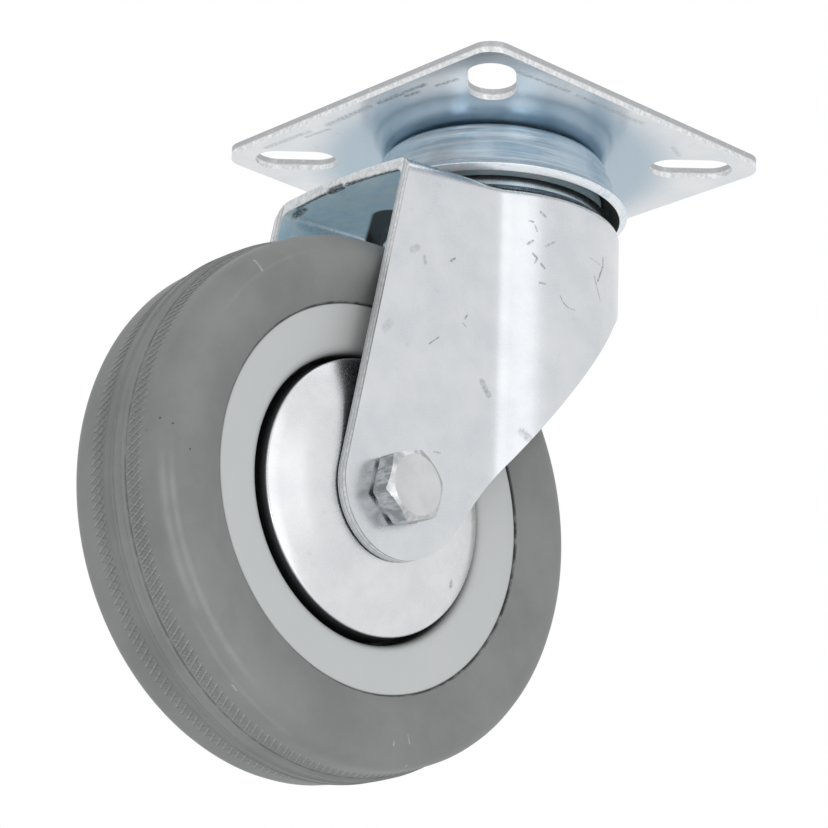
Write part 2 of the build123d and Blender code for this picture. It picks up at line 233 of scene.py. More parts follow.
class Finish:
    # one material being built round a Principled shader
    def __init__(self, name, **fixed):
        self.material = bpy.data.materials.new(name)
        self.material.use_nodes = True
        self.tree = self.material.node_tree
        self.shader = self.tree.nodes["Principled BSDF"]
        for socket, value in fixed.items():
            self.shader.inputs[socket.replace("_", " ")].default_value = value
        coords = self.tree.nodes.new("ShaderNodeTexCoord")
        self.place = Signal(self.tree, coords.outputs["Object"])
        self.x, self.y, self.z = self.split(self.place)
        normal = Signal(self.tree, coords.outputs["Normal"])
        self.faceX, self.faceY, self.faceZ = self.split(normal)

    def node(self, kind, settings=None, **sockets):
        # any node: its settings first, then the values or links of its sockets
        node = self.tree.nodes.new("ShaderNode" + kind)
        for key, value in (settings or {}).items():
            setattr(node, key, value)
        for key, value in sockets.items():
            socket = node.inputs[key.replace("_", " ")]
            if isinstance(value, Signal):
                self.tree.links.new(value.socket, socket)
            else:
                socket.default_value = value
        return Signal(self.tree, node.outputs[0])

    def split(self, vector):
        # the three parts of a vector
        node = self.tree.nodes.new("ShaderNodeSeparateXYZ")
        self.tree.links.new(vector.socket, node.inputs[0])
        return [Signal(self.tree, node.outputs[i]) for i in range(3)]

    def length(self, **parts):
        # of the vector that has these parts, such as the distance from an axis
        return self.node("CombineXYZ", **parts).vector("LENGTH", output=1)

    def noise(self, scale, detail=2.0, roughness=0.5, stretch=(1, 1, 1), shift=(0, 0, 0)):
        moved = self.node("Mapping", Vector=self.place, Scale=stretch, Location=shift)
        return self.node("TexNoise", Vector=moved, Scale=scale, Detail=detail, Roughness=roughness)

    def ramp(self, value, low, high):
        # 0 below low, 1 above high, smooth between
        settings = {"interpolation_type": "SMOOTHSTEP"}
        return self.node("MapRange", settings, Value=value, From_Min=low, From_Max=high)

    def mixColor(self, factor, first, second):
        node = self.tree.nodes.new("ShaderNodeMix")
        node.data_type = "RGBA"
        for place, value in ((0, factor), (6, first), (7, second)):
            if isinstance(value, Signal):
                self.tree.links.new(value.socket, node.inputs[place])
            elif place == 0:
                node.inputs[0].default_value = value
            else:
                node.inputs[place].default_value = (*value, 1)
        return Signal(self.tree, node.outputs[2])

    def stroke(self, start, end, width):
        # 1 on the line from start to end, falling to 0 at width from it
        start = Vector(start)
        run = Vector(end) - start
        length = max(run.length, 0.01 * mm)
        along = run / length
        away = self.place.vector("SUBTRACT", tuple(start))
        step = away.vector("DOT_PRODUCT", tuple(along), output=1).math("MAXIMUM", 0.0)
        step = step.math("MINIMUM", length)
        foot = self.node("CombineXYZ", X=step * along.x, Y=step * along.y, Z=step * along.z)
        distance = away.vector("DISTANCE", foot, output=1)
        return 1 - self.ramp(distance, width * 0.3, width)

    def feed(self, socket, value):
        self.tree.links.new(value.socket, self.shader.inputs[socket])

    def bump(self, height, strength, distance):
        bumped = self.node("Bump", Height=height, Strength=strength, Distance=distance)
        self.feed("Normal", bumped)


def wear(obj, finish):
    # the finish becomes the piece's only material
    obj.data.materials.clear()
    obj.data.materials.append(finish.material)


tyre = {
    "ribHalfWidth": 2.3 * mm,
    "ribSlope": 0.25 * mm,
    "bandOuterEdge": 5.6 * mm,
    "bandDrop": 0.5 * mm,
    "treadDrop": 0.7 * mm,
    "shoulderRadius": 4.2 * mm,
    "sidewallDrop": 1.6 * mm,
    "sidewallRound": 9.0 * mm,
    "seatHalfWidth": 9.9 * mm,
    "partingPlace": 0.35 * mm,
    "partingHeight": 0.14 * mm,
    "partingHalfWidth": 0.12 * mm,
    "ridges": 200,
    "ridgeColumns": 5,
    "ridgeHeight": 0.26 * mm,
    "ridgeLean": -0.54,
    "ridgeGap": 0.4 * mm,
    "ridgeFadeIn": 0.25 * mm,
    "ridgeFadeOut": 1.4 * mm,
    "crossHeight": 0.09 * mm,
    "crossLean": 0.54,
    "bandStretch": 0.3 * mm,
    "otherStretch": 3.0 * mm,
}


def buildTyre():
    # a closed profile (x along the axle, r from it) turned about the axle; columns lean with the
    # ridges of the two bands, so that each ridge keeps its own columns of points, and the
    # cosine squared of the angle lifts the ridges while a zigzag lifts the lines across them
    size = tyre
    top = wheelRadius
    tread = top - size["treadDrop"]
    band = top - size["bandDrop"]
    rib = size["ribHalfWidth"]
    edge = size["bandOuterEdge"]
    half = (tyreHigh.x - tyreLow.x) / 2
    shoulder = size["shoulderRadius"]
    part = size["partingPlace"]
    narrow = size["partingHalfWidth"]
    right = [(part - narrow, top, 0), (part, top, 0), (part + narrow, top, 0)]
    right += [
        (rib - size["ribSlope"], top, 0.12 * mm),
        (rib, band, 0.08 * mm),
        (edge, tread, 0),
        (half, tread, shoulder),
        (half, tread - shoulder - size["sidewallDrop"], size["sidewallRound"]),
        (size["seatHalfWidth"], rimRadius, 0.35 * mm),
    ]
    corners = right + [(-x, r, k) for x, r, k in reversed(right)]
    slack = 0.05 * mm

    def longest(here, after):
        # shorter on the two bands that carry the ridges
        inner, outer = sorted((abs(here[0]), abs(after[0])))
        inBand = rib - slack < inner and outer < edge + slack
        onTread = min(here[1], after[1]) > tread - slack
        return size["bandStretch"] if inBand and onTread else size["otherStretch"]

    path = divided(roundedPath(corners, steps=8), longest)
    x = path[:, :1]
    r = path[:, 1:]
    count = size["ridges"]
    angle = fullTurn(count * size["ridgeColumns"])
    leaning = angle + size["ridgeLean"] * np.clip(x, -edge, edge) / band
    ridge = np.maximum(0, np.cos(angle * count)) ** 2
    crossed = (leaning - size["crossLean"] * x / band) * count / (2 * math.pi)
    cross = np.abs(np.mod(crossed, 1) - 0.5) * 2
    fadeIn = (np.abs(x) - rib - size["ridgeGap"]) / size["ridgeFadeIn"]
    fadeOut = (edge - np.abs(x)) / size["ridgeFadeOut"]
    onBand = np.clip(np.minimum(fadeIn, fadeOut), 0, 1) * (r > tread - 2 * slack)
    sunk = 0.6  # this share of each height lies below the band's own level
    lift = size["ridgeHeight"] * (ridge - sunk) + size["crossHeight"] * (cross - sunk)
    onLine = np.abs(np.abs(x) - part) < narrow / 2
    onRib = (r > top - slack / 5) * size["partingHeight"] * (1.0 * onLine - 1)
    radius = r + onBand * lift + onRib
    points = aroundAxle(np.broadcast_to(x, radius.shape), radius, leaning)
    return gridMesh("tyre_rubber", points, closeRows=True)


tyrePiece = buildTyre()
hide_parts("tyre")
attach(tyrePiece, "wheel")
print("stage 2: tyre", len(tyrePiece.data.polygons), "quads")

cup = {
    "bore": 4.45 * mm,
    "sheet": 1.5 * mm,
    "topRound": 2.6 * mm,
    "innerTopRound": 1.6 * mm,
    "innerWallDrop": 4.2 * mm,
    "wallRadius": 18.3 * mm,
    "wallDrop": 3.0 * mm,
    "wallTaper": 0.25 * mm,
    "stepRadius": 18.5 * mm,
    "stepDrop": 3.7 * mm,
    "stepOut": 0.6 * mm,
    "stepRound": 0.25 * mm,
    "skirtRadius": 20.1 * mm,
    "skirtDrop": 7.5 * mm,
    "skirtRound": 1.6 * mm,
    "edgeAngle": 31.4,
    "edgeRound": 0.12 * mm,
}


def buildCup():
    # pressed sheet: wall, step, skirt and flared rim, with the bends rounded, as one section
    # turned about the swivel's axis
    size = cup
    roof = plateLow.z
    rim = (cupHigh.x - cupLow.x) / 2
    edge = math.radians(size["edgeAngle"])
    sheet = size["sheet"]
    low = cupLow.z
    rimHeight = low + sheet * math.sin(edge)
    stepHeight = roof - size["stepDrop"]
    skirtHeight = roof - size["skirtDrop"]
    wall = size["wallRadius"]
    step = size["stepRadius"]
    skirt = size["skirtRadius"]
    corners = [
        (roof, size["bore"], 0),
        (roof, wall - size["wallTaper"], size["topRound"]),
        (roof - size["wallDrop"], wall, 0),
        (stepHeight, step, size["stepRound"]),
        (stepHeight - size["stepOut"] / 2, step + size["stepOut"], size["stepRound"]),
        (skirtHeight, skirt, size["skirtRound"]),
        (rimHeight, rim, size["edgeRound"]),
        (low, rim - sheet * math.cos(edge), size["edgeRound"]),
        (skirtHeight - sheet * math.tan(edge / 3), skirt - sheet, 1.0 * mm),
        (roof - sheet - size["innerWallDrop"], wall - sheet, 0.5 * mm),
        (roof - sheet, wall - sheet, size["innerTopRound"]),
        (roof - sheet, size["bore"], 0),
    ]
    return lathe("race_cup_pressed", corners, 256, aroundSwivel, 1.2 * mm)


cupPiece = buildCup()
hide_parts("race_cup")
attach(cupPiece, "plate")
print("stage 3: race cup", len(cupPiece.data.polygons), "quads")

guard = {
    "bore": 3.2 * mm,
    "sheet": 1.0 * mm,
    "landRadius": 8.7 * mm,
    "landRound": 1.5 * mm,
    "domeRadius": 14.5 * mm,
    "domeDepth": 1.3 * mm,
    "domeRound": 22.0 * mm,
    "edgeInset": 1.15 * mm,
    "edgeDepth": 3.5 * mm,
    "edgeRound": 0.4 * mm,
    "skirtTaper": 0.1 * mm,
    "lipRound": 0.2 * mm,
}


def buildGuard(name, node, side):
    # a shallow dome whose rim is rolled back into a short skirt, as one section turned about the
    # axle; side is 1 on the right and -1 on the left
    size = guard
    outer = (guardHigh.z - guardLow.z) / 2 - size["edgeInset"]
    face = guardHigh.x - wheelCentre.x
    skirt = guardLow.x - wheelCentre.x
    sheet = size["sheet"]
    edge = face - size["edgeDepth"]
    shoulder = outer - size["skirtTaper"]
    corners = [
        (face, size["bore"], 0),
        (face, size["landRadius"], size["landRound"]),
        (face - size["domeDepth"], size["domeRadius"], size["domeRound"]),
        (edge, shoulder, size["edgeRound"]),
        (skirt, outer, size["lipRound"]),
        (skirt, outer - sheet, size["lipRound"]),
        (edge - sheet, shoulder - sheet, 0.3 * mm),
        (face - sheet, size["landRadius"], 1.0 * mm),
        (face - sheet, size["bore"], 0),
    ]
    if side > 0:
        corners = corners[::-1]
    corners = [(x * side, r, k) for x, r, k in corners]
    piece = lathe(name, corners, 240, aroundAxle, 1.6 * mm)
    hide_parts(node)
    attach(piece, "fork")
    return piece


guardPieces = [
    buildGuard("guard_right", "thread_guard_right", 1),
    buildGuard("guard_left", "thread_guard_left", -1),
]
print("stage 4: thread guards")

hub = {
    "bore": 7.0 * mm,
    "radius": 9.6 * mm,
    "halfLength": 10.6 * mm,
    "rimHalf": 9.7 * mm,
    "webHalf": 2.0 * mm,
    "mouth": 21.4 * mm,
    "mouthFall": 0.4 * mm,
    "mouthRound": 1.6 * mm,
    "edgeRound": 0.2 * mm,
    "ribs": 8,
    "ribThickness": 1.8 * mm,
    "ribHalfWidth": 4.5 * mm,
    "ribRoot": 0.5 * mm,
    "sharpAngle": 40.0,
}


def buildHub():
    # hub, web and rim as one section turned about the axle, with straight ribs through the web
    size = hub
    half = size["rimHalf"]
    right = [
        (size["halfLength"], size["bore"], 0.2 * mm),
        (size["halfLength"], size["radius"], 0.3 * mm),
        (size["webHalf"], size["radius"], 0.8 * mm),
        (size["webHalf"], size["mouth"], 0.8 * mm),
        (half - size["mouthFall"], size["mouth"], size["mouthRound"]),
        (half, rimRadius, size["edgeRound"]),
    ]
    corners = right + [(-x, r, k) for x, r, k in reversed(right)]
    shells = [turned(corners, 240, aroundAxle, 1.6 * mm)]
    inner = size["radius"] - size["ribRoot"]
    outer = size["mouth"] + size["ribRoot"]
    wide = size["ribHalfWidth"]
    thick = size["ribThickness"] / 2
    for turn in np.arange(size["ribs"]) * 2 * math.pi / size["ribs"]:
        ends = []
        for radius in (inner, outer):
            for x, side in ((-wide, -thick), (-wide, thick), (wide, thick), (wide, -thick)):
                y = wheelCentre.y + radius * math.cos(turn) - side * math.sin(turn)
                z = wheelCentre.z + radius * math.sin(turn) + side * math.cos(turn)
                ends.append((wheelCentre.x + x, y, z))
        sides = [(i, i + 4, (i + 1) % 4 + 4, (i + 1) % 4) for i in range(4)]
        shells.append((np.array(ends), np.array(sides + [(0, 1, 2, 3), (7, 6, 5, 4)])))
    piece = makeObject("hub_moulded", shells)
    piece.data.set_sharp_from_angle(angle=math.radians(size["sharpAngle"]))
    return piece


hubPiece = buildHub()
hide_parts("wheel_centre")
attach(hubPiece, "wheel")
print("stage 5: wheel centre")

bolt = {
    "acrossFlats": 10.0 * mm,
    "cornerAngle": 17.9,
    "faceRadius": 4.5 * mm,
    "bevelAngle": 30.0,
    "grooveRadius": 4.1 * mm,
    "grooveWidth": 0.14 * mm,
    "grooveDepth": 0.03 * mm,
    "washerRadius": 4.75 * mm,
    "washerHeight": 0.32 * mm,
    "underCut": 0.5 * mm,
    "shankRadius": 3.0 * mm,
    "threadStart": -20.8 * mm,
    "pitch": 1.0 * mm,
    "threadDepth": 0.5 * mm,
    "threadStep": 0.08 * mm,
    "columns": 96,
    "sharpAngle": 28.0,
}


def buildBolt():
    # rows run from the face of the head to the threaded end; a hair-thin bore closes the surface.
    # The head's radius is the hexagon's at each angle, and the thread is a zigzag that advances
    # by one pitch a turn
    size = bolt
    face = boltHigh.x
    seat = fork["sideHalf"]
    end = boltLow.x
    hair = 0.01 * mm
    angle = fullTurn(size["columns"])
    turn = math.radians(size["cornerAngle"])
    sixth = math.pi / 3
    hexagon = size["acrossFlats"] / 2 / np.cos(np.mod(angle - turn, sixth) - sixth / 2)
    bevel = face - (hexagon - size["faceRadius"]) * math.tan(math.radians(size["bevelAngle"]))
    groove = size["grooveRadius"]
    width = size["grooveWidth"]
    floor = face - size["grooveDepth"]
    rows = [(face, hair), (face, groove - width), (floor, groove), (face, groove + width)]
    rows += [
        (face, size["faceRadius"]),
        (bevel, hexagon),
        (seat + size["underCut"], hexagon),
        (seat + size["washerHeight"], size["washerRadius"]),
        (seat, size["washerRadius"]),
        (seat, size["shankRadius"]),
        (size["threadStart"], size["shankRadius"]),
    ]
    for x in np.arange(size["threadStart"], end + size["threadStep"] / 2, -size["threadStep"]):
        wave = np.abs(2 * np.mod(x / size["pitch"] + angle / (2 * math.pi), 1) - 1)
        thread = size["shankRadius"] - size["threadDepth"] * wave
        point = size["shankRadius"] - size["threadDepth"] + (x - end)
        rows.append((x, np.minimum(thread, point)))
    rows += [(end, size["shankRadius"] - size["threadDepth"] * 1.2), (end, hair)]
    x = np.concatenate([np.broadcast_to(row[0], angle.shape) for row in rows])
    radius = np.concatenate([np.broadcast_to(row[1], angle.shape) for row in rows])
    piece = gridMesh("bolt_forged", aroundAxle(x, radius, angle), closeRows=True)
    piece.data.set_sharp_from_angle(angle=math.radians(size["sharpAngle"]))
    return piece


boltPiece = buildBolt()
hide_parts("axle_bolt")
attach(boltPiece, "fork")
print("stage 6: bolt")


def metres(marks, share=1):
    # marks are (start, end, width, depth), in mm but for the depth; share narrows them all
    return [
        (tuple(v * mm for v in start), tuple(v * mm for v in end), width * share * mm, depth)
        for start, end, width, depth in marks
    ]


def dirtAndShade(f, strokes):
    # the darkest of several strokes, broken up by a fine noise; they are dirt, and painted shade in
    # the fork's hollow
    fleck = f.ramp(f.noise(2600, 2, 0.6), 0.38, 0.62)
    total = None
    for start, end, width, depth in strokes:
        one = f.stroke(start, end, width) * depth
        total = one if total is None else total | one
    return total * (0.35 + 0.65 * fleck)


zinc = {
    "tint": (0.66, 0.69, 0.72),
    "cloudy": (0.61, 0.655, 0.70),
    "cloudScale": 140,
    "roughness": 0.18,
    "grain": 0.25,
    "grainScale": 1500,
    "dirtAndShade": (0.22, 0.24, 0.25),
    "smear": 0.12,
    "smearScale": 420,
    "edgePale": (0.84, 0.85, 0.86),
    "edgeDark": (0.60, 0.61, 0.62),
    "edgeLine": (0.34, 0.35, 0.36),
    "edgeRoughness": 0.45,
}


def makeZinc(name, look, strokes=(), edgeMask=None, local=None):
    # bright zinc: a slight tint, cloudy polish and fine grain; sheared edges are dull and grainy
    f = Finish(name, Metallic=1.0)
    clouds = f.noise(look["cloudScale"], 4, 0.6)
    fine = f.noise(look["grainScale"], 3, 0.65)
    tone = f.mixColor(f.ramp(clouds, 0.3, 0.72), look["tint"], look["cloudy"])
    rough = clouds * 0.06 + fine * 0.07 + (look["roughness"] - 0.06)
    if local:
        tone, rough, metal = local(f, look, tone, rough)
        if metal:
            f.feed("Metallic", metal)
    smear = f.ramp(f.noise(look["smearScale"], 4, 0.65, shift=(3, 1, 2)), 0.62, 0.8)
    tone = f.mixColor(smear * look["smear"], tone, look["dirtAndShade"])
    if edgeMask:
        shear, lines = edgeMask(f, look)
        grit = f.noise(look["grainScale"], 3, 0.7, stretch=(1, 1, 0.8))
        sheared = f.mixColor(f.ramp(grit, 0.3, 0.7), look["edgeDark"], look["edgePale"])
        sheared = f.mixColor(lines * f.ramp(grit, 0.2, 0.5), sheared, look["edgeLine"])
        tone = f.mixColor(shear, tone, sheared)
        rough = rough + shear * (look["edgeRoughness"] - look["roughness"])
    if strokes:
        spots = dirtAndShade(f, strokes)
        tone = f.mixColor(spots, tone, look["dirtAndShade"])
        rough = rough + spots * 0.3
    f.feed("Base Color", tone)
    f.feed("Roughness", rough)
    f.bump(fine, look["grain"], 0.02 * mm)
    return f


plateZinc = {
    **zinc,
    "tint": (0.72, 0.73, 0.74),
    "cloudy": (0.66, 0.685, 0.71),
    "smear": 0.22,
    # painted shade: the bluish dark colour of the plating round the cup
    "paintedShadeNearCup": (0.38, 0.47, 0.54),
    "nearFrom": 32.0 * mm,
    "nearFull": 23.0 * mm,
    "nearTop": 0.5 * mm,
    "top": (0.60, 0.615, 0.63),
    "topSkin": 0.1 * mm,
    "shearFrom": 0.7 * mm,
    "shearFull": 1.1 * mm,
}
# the plate's underside: place to place in mm (x, y), width and darkness
plateMarks = [
    ((-8.0, -28.2), (2.0, -28.6), 0.8, 0.5),
    ((-22.0, -28.9), (-12.0, -28.5), 0.7, 0.4),
    ((-14.0, -27.4), (-9.0, -27.0), 0.5, 0.5),
    ((15.0, -26.9), (19.0, -26.4), 0.6, 0.5),
    ((27.6, -22.0), (28.4, -12.0), 0.6, 0.4),
    ((4.0, -28.5), (14.0, -28.4), 0.7, 0.6),
    ((9.0, -27.4), (11.5, -27.2), 0.6, 0.7),
    ((20.0, -24.5), (24.0, -23.0), 1.0, 0.35),
    ((28.3, -10.0), (28.6, 4.0), 0.7, 0.35),
    ((26.0, 14.0), (24.5, 17.0), 0.6, 0.3),
    ((-20.0, -12.0), (-23.5, -9.0), 0.7, 0.25),
]
plateStrokes = [
    ((*start, plateLow.z), (*end, plateLow.z), width, depth)
    for start, end, width, depth in metres(plateMarks)
]


def plateEdges(f, look):
    # the punched upper part of the sheared side is darker than the lower part
    upper = f.ramp(f.z, plateLow.z + look["shearFrom"], plateLow.z + look["shearFull"])
    return abs(f.faceZ) < 0.5, upper * 0.8


def plateTones(f, look, tone, rough):
    # round the cup a bluish painted shade darkens the plating, and it is greyer on top
    near = 1 - f.ramp(f.length(X=f.x, Y=f.y), look["nearFull"], look["nearFrom"])
    near = near * (f.z < plateHigh.z - look["nearTop"])
    tone = f.mixColor(near, tone, look["paintedShadeNearCup"])
    tone = f.mixColor(f.z > plateHigh.z - look["topSkin"], tone, look["top"])
    return tone, rough, None


plateFinish = makeZinc("zincPlate", plateZinc, plateStrokes, plateEdges, plateTones)

cupZinc = {
    **zinc,
    # painted reflection: the cup's tint and clouding are bluer and darker than the other zinc, for
    # the dark blue surroundings that its wall mirrors
    "tint": (0.80, 0.88, 0.94),
    "cloudy": (0.48, 0.62, 0.72),
    "dullness": 0.38,
    # painted sheen: the near-white colour of the streaks
    "streakSheen": (0.97, 0.98, 0.99),
    "streakStretch": (60, 60, 1400),
    "sheenFrom": 10.0 * mm,
    "sheenFull": 17.5 * mm,
    "worn": (0.95, 0.96, 0.97),
    "bendHeight": 2.3 * mm,
    "rim": (0.86, 0.87, 0.88),
    "rimHeight": 1.6 * mm,
    "darkInside": (0.05, 0.05, 0.05),
}


def cupBands(f, look, tone, rough):
    # thin level streaks follow the turning, and a painted sheen makes them brightest towards +X and
    # -Y; the step and the bend are worn, the flared rim is pale and the inside faces are dark
    streakSheen = f.ramp(f.noise(1, 4, 0.7, stretch=look["streakStretch"]), 0.42, 0.62)
    # painted sheen: the streaks grow brighter towards +X and -Y
    sweep = f.ramp((f.x - f.y) * math.sqrt(0.5), look["sheenFrom"], look["sheenFull"])
    tone = f.mixColor(streakSheen * (sweep * 0.6 + 0.3), tone, look["streakSheen"])
    step = abs(f.z - (cupHigh.z - cup["stepDrop"] - cup["stepOut"] * 0.25))
    bend = abs(f.z - (cupLow.z + look["bendHeight"]))
    worn = (1 - f.ramp(step, 0.15 * mm, 0.4 * mm)) | (1 - f.ramp(bend, 0.08 * mm, 0.3 * mm))
    tone = f.mixColor(worn * 0.85, tone, look["worn"])
    speckle = f.ramp(f.noise(1300, 3, 0.7), 0.36, 0.6)
    flare = 1 - f.ramp(f.z, cupLow.z + look["rimHeight"], cupLow.z + look["bendHeight"])
    tone = f.mixColor(flare * speckle, tone, look["rim"])
    # the faces that look towards the swivel's axis are made near black
    darkInside = f.faceX * f.x + f.faceY * f.y < -0.001 * mm
    metal = 1 - look["dullness"] * (1 - darkInside)
    return f.mixColor(darkInside, tone, look["darkInside"]), rough + darkInside * 0.4 + flare * 0.15, metal


cupFinish = makeZinc("zincCup", cupZinc, local=cupBands)

ringZinc = {**zinc, "tint": (0.42, 0.50, 0.55), "cloudy": (0.32, 0.38, 0.42), "roughness": 0.2}
ringFinish = makeZinc("zincRing", ringZinc)

forkZinc = {
    **zinc,
    "tint": (0.66, 0.675, 0.695),
    "cloudy": (0.60, 0.62, 0.645),
    "roughness": 0.26,
    # dirt colour, also used for painted shade in the hollow's front corner
    "dirtAndShade": (0.16, 0.17, 0.18),
    # painted reflection: the blue tones of the hood's hollow
    "innerReflectionDark": (0.64, 0.86, 0.99),
    "innerReflectionPale": (0.84, 0.97, 1.0),
    "innerRoughness": 0.1,
    "innerDullness": 0.65,
    # painted shade down the legs of the hollow
    "innerLegShade": (0.07, 0.075, 0.08),
    "legFrom": -26.0 * mm,
    "legFull": -36.0 * mm,
    "innerHole": (0.015, 0.015, 0.018),
    "holeStart": (-3.4 * mm, -18.4 * mm, -15.5 * mm),
    "holeEnd": (-12.0 * mm, -12.0 * mm, -15.8 * mm),
    "holeWidth": 3.8 * mm,
    "shearDrop": 12.0 * mm,
    "shearFront": -25.0 * mm,
    "shearLines": [(15.1, 0.8), (14.4, 0.7), (14.0, 0.5), (13.7, 1.0)],  # x in mm, darkness
    "lineCore": 0.04 * mm,
    "lineEdge": 0.17 * mm,
}
# the fork's right-hand side: place to place in mm (y, z), width and darkness
forkMarks = [
    ((-9.5, -23.0), (-8.8, -22.4), 0.4, 0.7),
    ((-8.7, -24.5), (-8.1, -25.1), 0.35, 0.7),
    ((-8.1, -25.1), (-8.4, -25.9), 0.3, 0.6),
    ((-7.5, -25.9), (-6.9, -26.5), 0.35, 0.7),
    ((-6.8, -22.9), (-5.4, -21.9), 0.35, 0.6),
    ((-7.6, -29.0), (-6.8, -29.0), 0.35, 0.7),
    ((-7.7, -17.5), (-6.9, -18.1), 0.4, 0.6),
    ((-9.4, -19.2), (-8.8, -19.3), 0.3, 0.6),
    ((-8.5, -19.8), (-8.2, -20.7), 0.3, 0.6),
    ((5.3, -21.3), (5.3, -22.7), 0.3, 0.8),
    ((5.3, -22.7), (3.9, -25.6), 0.35, 0.9),
    ((2.9, -25.2), (4.6, -28.5), 0.3, 0.6),
    ((1.8, -22.5), (4.5, -22.8), 0.2, 0.4),
    ((-4.2, -30.4), (-3.6, -31.4), 0.2, 0.6),
    ((-3.6, -31.4), (-2.6, -32.0), 0.2, 0.7),
    ((-2.6, -32.0), (-1.4, -32.0), 0.2, 0.6),
    ((-22.8, -29.0), (-22.0, -28.4), 0.4, 0.7),
    ((-19.5, -37.3), (-19.1, -36.6), 0.3, 0.7),
    ((-19.9, -38.1), (-19.3, -38.4), 0.3, 0.5),
    ((-26.6, -43.2), (-24.7, -41.6), 0.2, 0.7),
    ((-15.6, -46.2), (-14.3, -48.0), 1.0, 0.55),
    ((-9.6, -53.1), (-8.7, -53.9), 1.2, 0.4),
    ((-24.8, -59.4), (-23.6, -59.3), 0.25, 0.6),
    ((-30.7, -29.6), (-29.5, -28.8), 1.0, 0.3),
    ((-28.1, -30.0), (-28.0, -30.9), 0.7, 0.35),
    ((-34.5, -42.0), (-35.4, -43.2), 1.2, 0.25),
]
# dark strokes in the hollow's roof, with painted shade in its front corner: ends (x, y, z) in mm,
# width and darkness
roofDirtAndShadeMarks = [
    ((-2.9, -31.4, -15.6), (-0.6, -31.5, -15.5), 1.0, 2.0),
    # painted shade in the hollow's front corner
    ((-12.4, -29.8, -16.6), (-10.6, -30.4, -16.2), 1.2, 1.4),
    ((-13.0, -28.0, -16.9), (-14.0, -20.0, -16.8), 1.5, 0.3),
    ((0.8, -31.5, -15.5), (12.6, -31.4, -16.4), 0.6, 1.4),
    ((-10.6, -31.3, -16.2), (-3.2, -31.5, -15.6), 0.5, 1.2),
]
markShare = 0.75  # the fork's and the tyre's marks are drawn at this share of their width


def onFork(y, z):
    # a point on the fork's right-hand side: on the turret's circle, or on the flat side
    x = 0 if y < fork["turretEnd"] else math.sqrt(fork["turretRadius"] ** 2 - y**2)
    return max(x, fork["sideHalf"]), y, z


forkStrokes = [
    (onFork(*start), onFork(*end), width, depth)
    for start, end, width, depth in metres(forkMarks, markShare)
]
forkStrokes += metres(roofDirtAndShadeMarks)


def forkEdges(f, look):
    # cut edges face neither sideways nor round the turret, so their normals have no x
    flat = abs(f.faceX) < 0.06
    down = (f.faceZ < -0.12) * (f.z < forkHigh.z - look["shearDrop"])
    front = (f.faceY < -0.9) * (f.y < look["shearFront"])
    lines = None
    for place, depth in look["shearLines"]:
        away = abs(abs(f.x) - place * mm)
        line = (1 - f.ramp(away, look["lineCore"], look["lineEdge"])) * depth
        lines = line if lines is None else lines | line
    return flat * (down | front), lines


def forkInside(f, look, tone, rough):
    # the hollow of the hood is duller than its outside and has a bluer painted reflection; painted
    # shade darkens it down the legs, and it is darker round the hole in its roof
    turret = f.length(X=f.x, Y=f.y) < fork["hollowRadius"]
    straight = (abs(f.x) < fork["hollowHalf"]) * (f.y < fork["hollowEnd"])
    hollow = (turret | straight) * (f.faceZ < 0.5)
    speckle = f.ramp(f.noise(320, 5, 0.65), 0.3, 0.72)
    inner = f.mixColor(speckle, look["innerReflectionDark"], look["innerReflectionPale"])
    inner = f.mixColor(f.ramp(f.z, look["legFrom"], look["legFull"]), inner, look["innerLegShade"])
    hole = f.stroke(look["holeStart"], look["holeEnd"], look["holeWidth"])
    inner = f.mixColor(f.ramp(hole, 0.1, 0.4), inner, look["innerHole"])
    metal = 1 - hollow * look["innerDullness"]
    return f.mixColor(hollow, tone, inner), rough + hollow * look["innerRoughness"], metal


forkFinish = makeZinc("zincFork", forkZinc, forkStrokes, forkEdges, forkInside)

guardZinc = {
    **zinc,
    "tint": (0.71, 0.72, 0.735),
    "cloudy": (0.64, 0.65, 0.67),
    "roughness": 0.26,
    # painted shade for the skirt behind the edge
    "skirt": (0.16, 0.165, 0.17),
    "skirtFull": 0.45 * mm,
    "skirtFrom": 0.05 * mm,
}
guardMarks = [
    ((10.4, -44.0, -55.5), (10.8, -43.5, -56.6), 0.8, 0.7),
    ((10.9, -42.6, -56.0), (11.0, -42.2, -56.6), 0.6, 0.6),
    ((10.6, -16.7, -76.4), (10.6, -16.6, -76.9), 0.8, 0.8),
]


def guardSkirtShade(f, look, tone, rough):
    # painted shade: the skirt behind the edge is darkened
    edge = guardHigh.x - guard["edgeDepth"]
    skirt = 1 - f.ramp(abs(f.x), edge - look["skirtFull"], edge - look["skirtFrom"])
    return f.mixColor(skirt, tone, look["skirt"]), rough + skirt * 0.1, None


guardFinish = makeZinc("zincGuard", guardZinc, metres(guardMarks), local=guardSkirtShade)

boltZinc = {
    **zinc,
    "tint": (0.62, 0.63, 0.64),
    "cloudy": (0.52, 0.53, 0.54),
    "roughness": 0.2,
    "scale": (0.30, 0.31, 0.31),
    "scaleStretch": (0.35, 1, 1),
}


def boltSides(f, look, tone, rough):
    # whatever faces away from the axle's line, such as the head's sides, is grainy with scale,
    # and the bevel of the head less so
    side = abs(f.faceX) < 0.3
    bevel = (f.faceX > 0.6) * (f.faceX < 0.97)
    scale = f.ramp(f.noise(1100, 3, 0.7, stretch=look["scaleStretch"]), 0.35, 0.62)
    part = side * scale | bevel * (scale * 0.4 + 0.15)
    return f.mixColor(part, tone, look["scale"]), rough + side * 0.08, None


boltFinish = makeZinc("zincBolt", boltZinc, local=boltSides)

